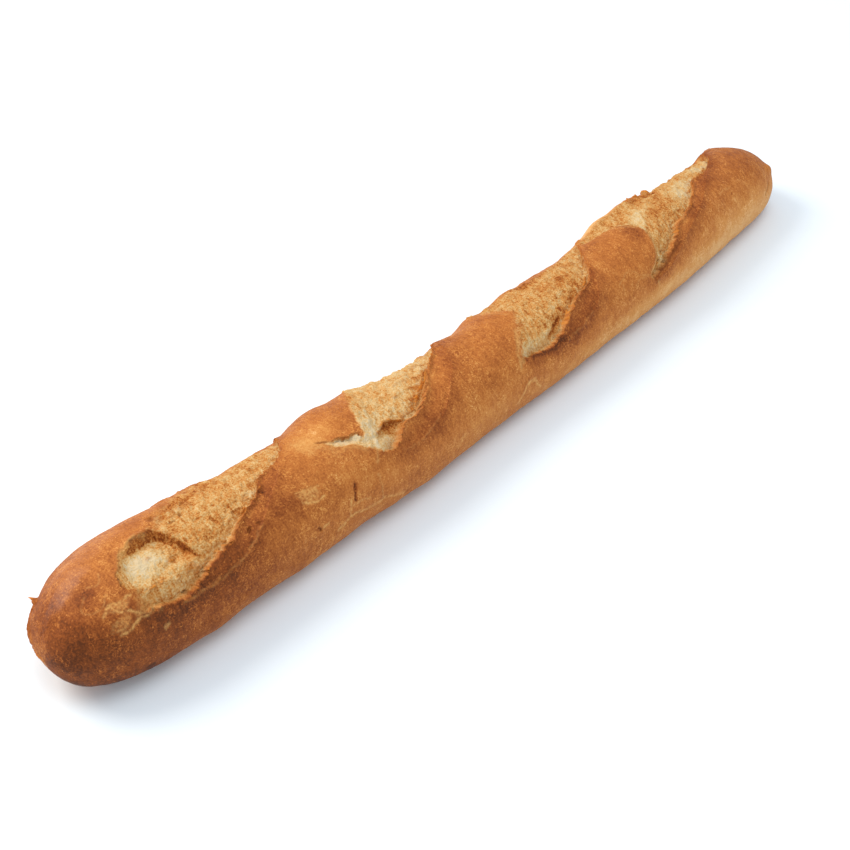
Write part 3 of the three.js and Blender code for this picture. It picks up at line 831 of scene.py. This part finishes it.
def loaf_faces(rows, columns):
    """Corners of all faces in one list, and how many each face has: quads, then a fan at each tip."""
    index = np.arange(rows * columns).reshape(rows, columns)
    after = np.roll(index, -1, axis=1)
    quads = np.stack([index[:-1], index[1:], after[1:], after[:-1]], axis=-1).reshape(-1, 4)
    near_tip, far_tip = rows * columns, rows * columns + 1
    near = np.stack([np.full(columns, near_tip), index[0], after[0]], axis=1)
    far = np.stack([np.full(columns, far_tip), after[-1], index[-1]], axis=1)
    corners = np.concatenate([quads.ravel(), near.ravel(), far.ravel()])
    return corners, np.concatenate([np.full(len(quads), 4), np.full(2 * columns, 3)])


def unwrapped(crust, corners, sizes):
    """Place of each face corner on the bake map: the loaf's near half below, its far half above."""
    rows, columns = crust.shape
    side = crust.body.reshape(rows, columns, 3)[:, columns // 2]
    along = np.concatenate([[0], np.cumsum(np.linalg.norm(np.diff(side, axis=0), axis=1))])
    along = np.append(np.repeat(along / along[-1], columns), [0, 1])
    around = np.append(np.tile((crust.angle[:columns] + 90) / 360, rows), [0, 0])
    face = np.repeat(np.arange(len(sizes)), sizes)
    starts = np.concatenate([[0], np.cumsum(sizes)[:-1]])
    u, v = along[corners], around[corners]
    lowest_u = np.minimum.reduceat(u, starts)[face]
    highest_v = np.maximum.reduceat(v, starts)[face]
    v = np.where((highest_v > 0.9) & (v < 0.1), 1.0, v)      # the last column's faces end at 1, not at 0
    middle = along[columns * (rows // 2)]
    far_half = lowest_u >= middle - 1e-9
    u = np.where(far_half, (u - middle) / (1 - middle), u / middle)
    map_u = UV_MARGIN + (1 - 2 * UV_MARGIN) * u
    map_v = UV_MARGIN + (0.5 - 2 * UV_MARGIN) * v + 0.5 * far_half
    return np.stack([map_u, map_v], axis=1)


def loaf_mesh(crust):
    points = loaf_points(crust.x, crust.angle, crust.rise)
    columns = crust.shape[1]
    tip_rise = np.array([crust.rise[:columns].mean(), crust.rise[-columns:].mean()])
    tips = loaf_points(np.array([-LENGTH / 2, LENGTH / 2]), np.zeros(2), tip_rise)
    low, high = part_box("loaf")
    shift = np.array([0, (low[1] + high[1]) / 2 / MM - (points[:, 1].min() + points[:, 1].max()) / 2, 0])
    vertices = (np.vstack([points, tips]) + shift) * MM
    corners, sizes = loaf_faces(*crust.shape)

    mesh = bpy.data.meshes.new("bread")
    mesh.vertices.add(len(vertices))
    mesh.vertices.foreach_set("co", vertices.ravel())
    mesh.loops.add(len(corners))
    mesh.loops.foreach_set("vertex_index", corners)
    mesh.polygons.add(len(sizes))
    mesh.polygons.foreach_set("loop_start", np.concatenate([[0], np.cumsum(sizes)[:-1]]))
    mesh.update(calc_edges=True)
    mesh.shade_smooth()
    mesh.uv_layers.new(name="OFBake").uv.foreach_set("vector", unwrapped(crust, corners, sizes).ravel())
    for share in Crust.SHARES:
        at_tip = TIP_TONE if share == "toast_and_shading" else 0
        values = np.append(getattr(crust, share), [at_tip, at_tip])
        mesh.attributes.new(share, "FLOAT", "POINT").data.foreach_set("value", values.astype(np.float32))
    places = np.stack([crust.x, crust.v, np.zeros(len(crust.x))], axis=1)
    places = np.vstack([places, [[-LENGTH / 2, 0, 0], [LENGTH / 2, 0, 0]]]).astype(np.float32)
    mesh.attributes.new("place", "FLOAT_VECTOR", "POINT").data.foreach_set("vector", places.ravel())
    return mesh, shift


# ---- Material ----

def linear(rgb):
    """Colour for the shader from display values of 0 to 255."""
    c = np.array(rgb) / 255
    return (*np.where(c <= 0.04045, c / 12.92, ((c + 0.055) / 1.055) ** 2.4), 1)


CRUST_RAMP = [(0.0, (222, 172, 112)), (0.25, (206, 141, 72)), (0.5, (182, 109, 48)), (0.75, (138, 71, 26)),
              (1.0, (86, 42, 14))]
CRUMB_RAMP = [(0.0, (210, 189, 152)), (0.3, (211, 177, 123)), (0.55, (200, 147, 83)), (0.8, (178, 106, 43)),
              (1.0, (126, 64, 22))]
# The pale and rim colours also make the painted highlight along the folds
PALE_COLOUR = (214, 162, 94)
RIM_COLOURS = (138, 64, 20), (204, 124, 40)
# Colour of the painted shade in holes and cracks
PIT_COLOUR = (112, 56, 16)


class Shader:
    """Short names for making and linking nodes."""

    def __init__(self, material):
        material.use_nodes = True
        self.nodes = material.node_tree.nodes
        self.links = material.node_tree.links
        self.surface = self.nodes["Principled BSDF"]

    def make(self, kind, **settings):
        node = self.nodes.new(kind)
        for name, value in settings.items():
            setattr(node, name, value)
        return node

    def wire(self, socket, value):
        if isinstance(value, bpy.types.NodeSocket):
            self.links.new(value, socket)
        else:
            socket.default_value = value

    def math(self, operation, a, b=0.0):
        node = self.make("ShaderNodeMath", operation=operation)
        self.wire(node.inputs[0], a)
        self.wire(node.inputs[1], b)
        return node.outputs[0]

    def add(self, *values):
        total = values[0]
        for value in values[1:]:
            total = self.math("ADD", total, value)
        return total

    def attribute(self, name, output="Fac"):
        return self.make("ShaderNodeAttribute", attribute_name=name).outputs[output]

    def noise(self, size, detail=3.0, roughness=0.55, distortion=0.0):
        """Noise with features of the given size in mm."""
        node = self.make("ShaderNodeTexNoise")
        self.wire(node.inputs["Vector"], self.make("ShaderNodeTexCoord").outputs["Object"])
        node.inputs["Scale"].default_value = 1 / (size * MM)
        node.inputs["Detail"].default_value = detail
        node.inputs["Roughness"].default_value = roughness
        node.inputs["Distortion"].default_value = distortion
        return node.outputs["Fac"]

    def streaks(self, width, length):
        """Noise stretched into streaks over the crust, leaning as the scores do."""
        scaled = self.make("ShaderNodeMapping")
        self.wire(scaled.inputs["Vector"], self.attribute("place", "Vector"))
        scaled.inputs["Rotation"].default_value = (0, 0, np.radians(20))
        scaled.inputs["Scale"].default_value = (1 / width, 1 / length, 1)
        node = self.make("ShaderNodeTexNoise")
        self.wire(node.inputs["Vector"], scaled.outputs["Vector"])
        node.inputs["Scale"].default_value = 1
        node.inputs["Detail"].default_value = 3
        node.inputs["Distortion"].default_value = 0.6
        return node.outputs["Fac"]

    def dots(self, size):
        node = self.make("ShaderNodeTexVoronoi")
        self.wire(node.inputs["Vector"], self.make("ShaderNodeTexCoord").outputs["Object"])
        node.inputs["Scale"].default_value = 1 / (size * MM)
        return node.outputs["Distance"]

    def ramp(self, value, stops):
        node = self.make("ShaderNodeValToRGB")
        elements = node.color_ramp.elements
        while len(elements) < len(stops):
            elements.new(0.5)
        for element, (place, colour) in zip(elements, stops):
            element.position = place
            element.color = linear(colour)
        self.wire(node.inputs[0], value)
        return node.outputs["Color"]

    def mix(self, share, a, b):
        node = self.make("ShaderNodeMix", data_type="RGBA")
        for name, value in zip((0, 6, 7), (share, a, b)):
            self.wire(node.inputs[name], value)
        return node.outputs[2]

    def remap(self, value, low, high, to_low=0.0, to_high=1.0):
        node = self.make("ShaderNodeMapRange")
        self.wire(node.inputs["Value"], value)
        for name, number in (("From Min", low), ("From Max", high), ("To Min", to_low), ("To Max", to_high)):
            node.inputs[name].default_value = number
        return node.outputs["Result"]


def thin_lines(s, size, width, strength, distortion):
    """Light curved lines, where smooth noise crosses its middle value."""
    off = s.math("ABSOLUTE", s.math("SUBTRACT", s.noise(size, 1.5, 0.5, distortion), 0.5))
    return s.remap(off, 0.0, width, -strength, 0.0)


def crust_colour(s):
    grain = s.remap(s.noise(0.9, 2, 0.5), 0.3, 0.7, -0.10, 0.10)
    streaks = s.remap(s.streaks(1.8, 6), 0.3, 0.7, -0.07, 0.07)
    clouds = s.remap(s.noise(14, 3), 0.3, 0.7, -0.06, 0.06)
    crazing = s.math("MULTIPLY", thin_lines(s, 4.2, 0.035, 0.28, 1.8), s.remap(s.noise(12, 2), 0.44, 0.58))
    fine_crazing = s.math("MULTIPLY", thin_lines(s, 2.2, 0.05, 0.18, 1.2), s.remap(s.noise(6, 2), 0.46, 0.60))
    specks = s.remap(s.dots(2.4), 0.08, 0.20, -0.22, 0.0)
    tone = s.add(s.attribute("toast_and_shading"), grain, streaks, clouds, crazing, fine_crazing, specks)
    return s.ramp(tone, CRUST_RAMP)


def crumb_colour(s):
    grain = s.remap(s.noise(0.9, 3, 0.6), 0.3, 0.7, -0.26, 0.26)
    streaks = s.remap(s.streaks(1.5, 7), 0.3, 0.7, -0.12, 0.12)
    patches = s.remap(s.noise(4.5, 3, 0.6), 0.3, 0.7, -0.10, 0.10)
    return s.ramp(s.add(s.attribute("toast_and_shading"), grain, streaks, patches), CRUMB_RAMP)


def bread_material():
    material = bpy.data.materials.new("bread")
    s = Shader(material)
    crumb = s.attribute("crumb")
    colour = s.mix(crumb, crust_colour(s), crumb_colour(s))
    # Pale crust and torn orange edges; along the folds both are a painted highlight
    pale = s.math("MULTIPLY", s.attribute("pale"), s.remap(s.noise(1.5, 3, 0.6), 0.38, 0.6, 0.2, 1.0))
    colour = s.mix(pale, colour, linear(PALE_COLOUR))
    rim = s.attribute("rim")
    brightness = s.remap(s.add(rim, s.noise(1.2, 3)), 0.75, 1.35)
    orange = s.mix(brightness, linear(RIM_COLOURS[0]), linear(RIM_COLOURS[1]))
    colour = s.mix(s.math("MULTIPLY", rim, 0.9), colour, orange)
    # Painted shade in holes and cracks
    colour = s.mix(s.attribute("pit"), colour, linear(PIT_COLOUR))
    s.wire(s.surface.inputs["Base Color"], colour)
    dull = s.math("SUBTRACT", crumb, s.attribute("gloss"))
    s.wire(s.surface.inputs["Roughness"], s.remap(dull, -1, 1, 0.30, 0.9))
    s.wire(s.surface.inputs["Specular IOR Level"], s.remap(s.attribute("gloss"), 0, 1, 0.15, 0.45))

    bump = s.make("ShaderNodeBump")
    bump.inputs["Strength"].default_value = 0.7
    bump.inputs["Distance"].default_value = 0.4 * MM
    s.wire(bump.inputs["Height"], s.math("MULTIPLY", s.noise(1.1, 3), s.remap(crumb, 0, 1, 1.0, 3.2)))
    s.wire(s.surface.inputs["Normal"], bump.outputs["Normal"])
    return material


# ---- Stage ----

FLOOR_SIZE = 8.0
FLOOR_COLOUR = (0.84, 0.91, 0.97, 1)      # clips to white wherever it is fully lit
CAMERA_PLACE = (-472.27, -418.69, 546.92)      # in mm, before the loaf is centred in its box
CAMERA_RIGHT = (0.69372, -0.72024, 0)
CAMERA_FORWARD = (0.53524, 0.51554, -0.66913)
LENS = 61.83                      # focal length and sensor width in mm
SENSOR = 36.0
SKY_STRENGTH = 0.80
SKY_COLOUR = (0.93, 0.97, 1.0, 1)
# Round lamps: power, place in metres, width, colour
LAMPS = {
    "key": (12.8, (-0.54, 0.86, 1.0), 0.8, (1.0, 0.92, 0.82)),
    "top": (15.0, (0.0, -0.5, 2.4), 1.6, (0.97, 0.98, 1.0)),
}


def make_floor():
    bpy.ops.mesh.primitive_plane_add(size=FLOOR_SIZE, location=(0, 0, 0))
    floor = bpy.context.object
    floor.name = "floor"
    material = bpy.data.materials.new("floor")
    s = Shader(material)
    s.surface.inputs["Base Color"].default_value = FLOOR_COLOUR
    s.surface.inputs["Roughness"].default_value = 1
    s.surface.inputs["Specular IOR Level"].default_value = 0
    floor.data.materials.append(material)


def make_lamp(name, power, place, width, colour):
    light = bpy.data.lights.new(name, "AREA")
    light.shape = "DISK"
    light.energy = power
    light.size = width
    light.color = colour
    lamp = bpy.data.objects.new(name, light)
    bpy.context.collection.objects.link(lamp)
    lamp.location = place
    lamp.rotation_euler = Vector(place).to_track_quat("Z", "Y").to_euler()
    lamp.visible_camera = False


def make_light():
    world = bpy.data.worlds.new("studio")
    bpy.context.scene.world = world
    world.use_nodes = True
    background = world.node_tree.nodes["Background"]
    background.inputs["Color"].default_value = SKY_COLOUR
    background.inputs["Strength"].default_value = SKY_STRENGTH
    for name, settings in LAMPS.items():
        make_lamp(name, *settings)


def make_camera(shift):
    camera = bpy.data.cameras.new("camera")
    camera.lens = LENS
    camera.sensor_width = SENSOR
    camera.clip_start = 0.01
    camera.clip_end = 20
    view = bpy.data.objects.new("camera", camera)
    bpy.context.collection.objects.link(view)
    right, forward = Vector(CAMERA_RIGHT), Vector(CAMERA_FORWARD)
    turn = Matrix((right, right.cross(forward), -forward)).transposed()
    view.matrix_world = Matrix.Translation((Vector(CAMERA_PLACE) + Vector(shift)) * MM) @ turn.to_4x4()
    bpy.context.scene.camera = view


def make_bread():
    mesh, shift = loaf_mesh(build_crust())
    bread = bpy.data.objects.new("bread", mesh)
    bpy.context.collection.objects.link(bread)
    mesh.materials.append(bread_material())
    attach(bread, "root")
    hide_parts("loaf")
    return shift


shift = make_bread()
make_floor()
make_light()
make_camera(shift)
bpy.context.scene.view_settings.view_transform = "Standard"
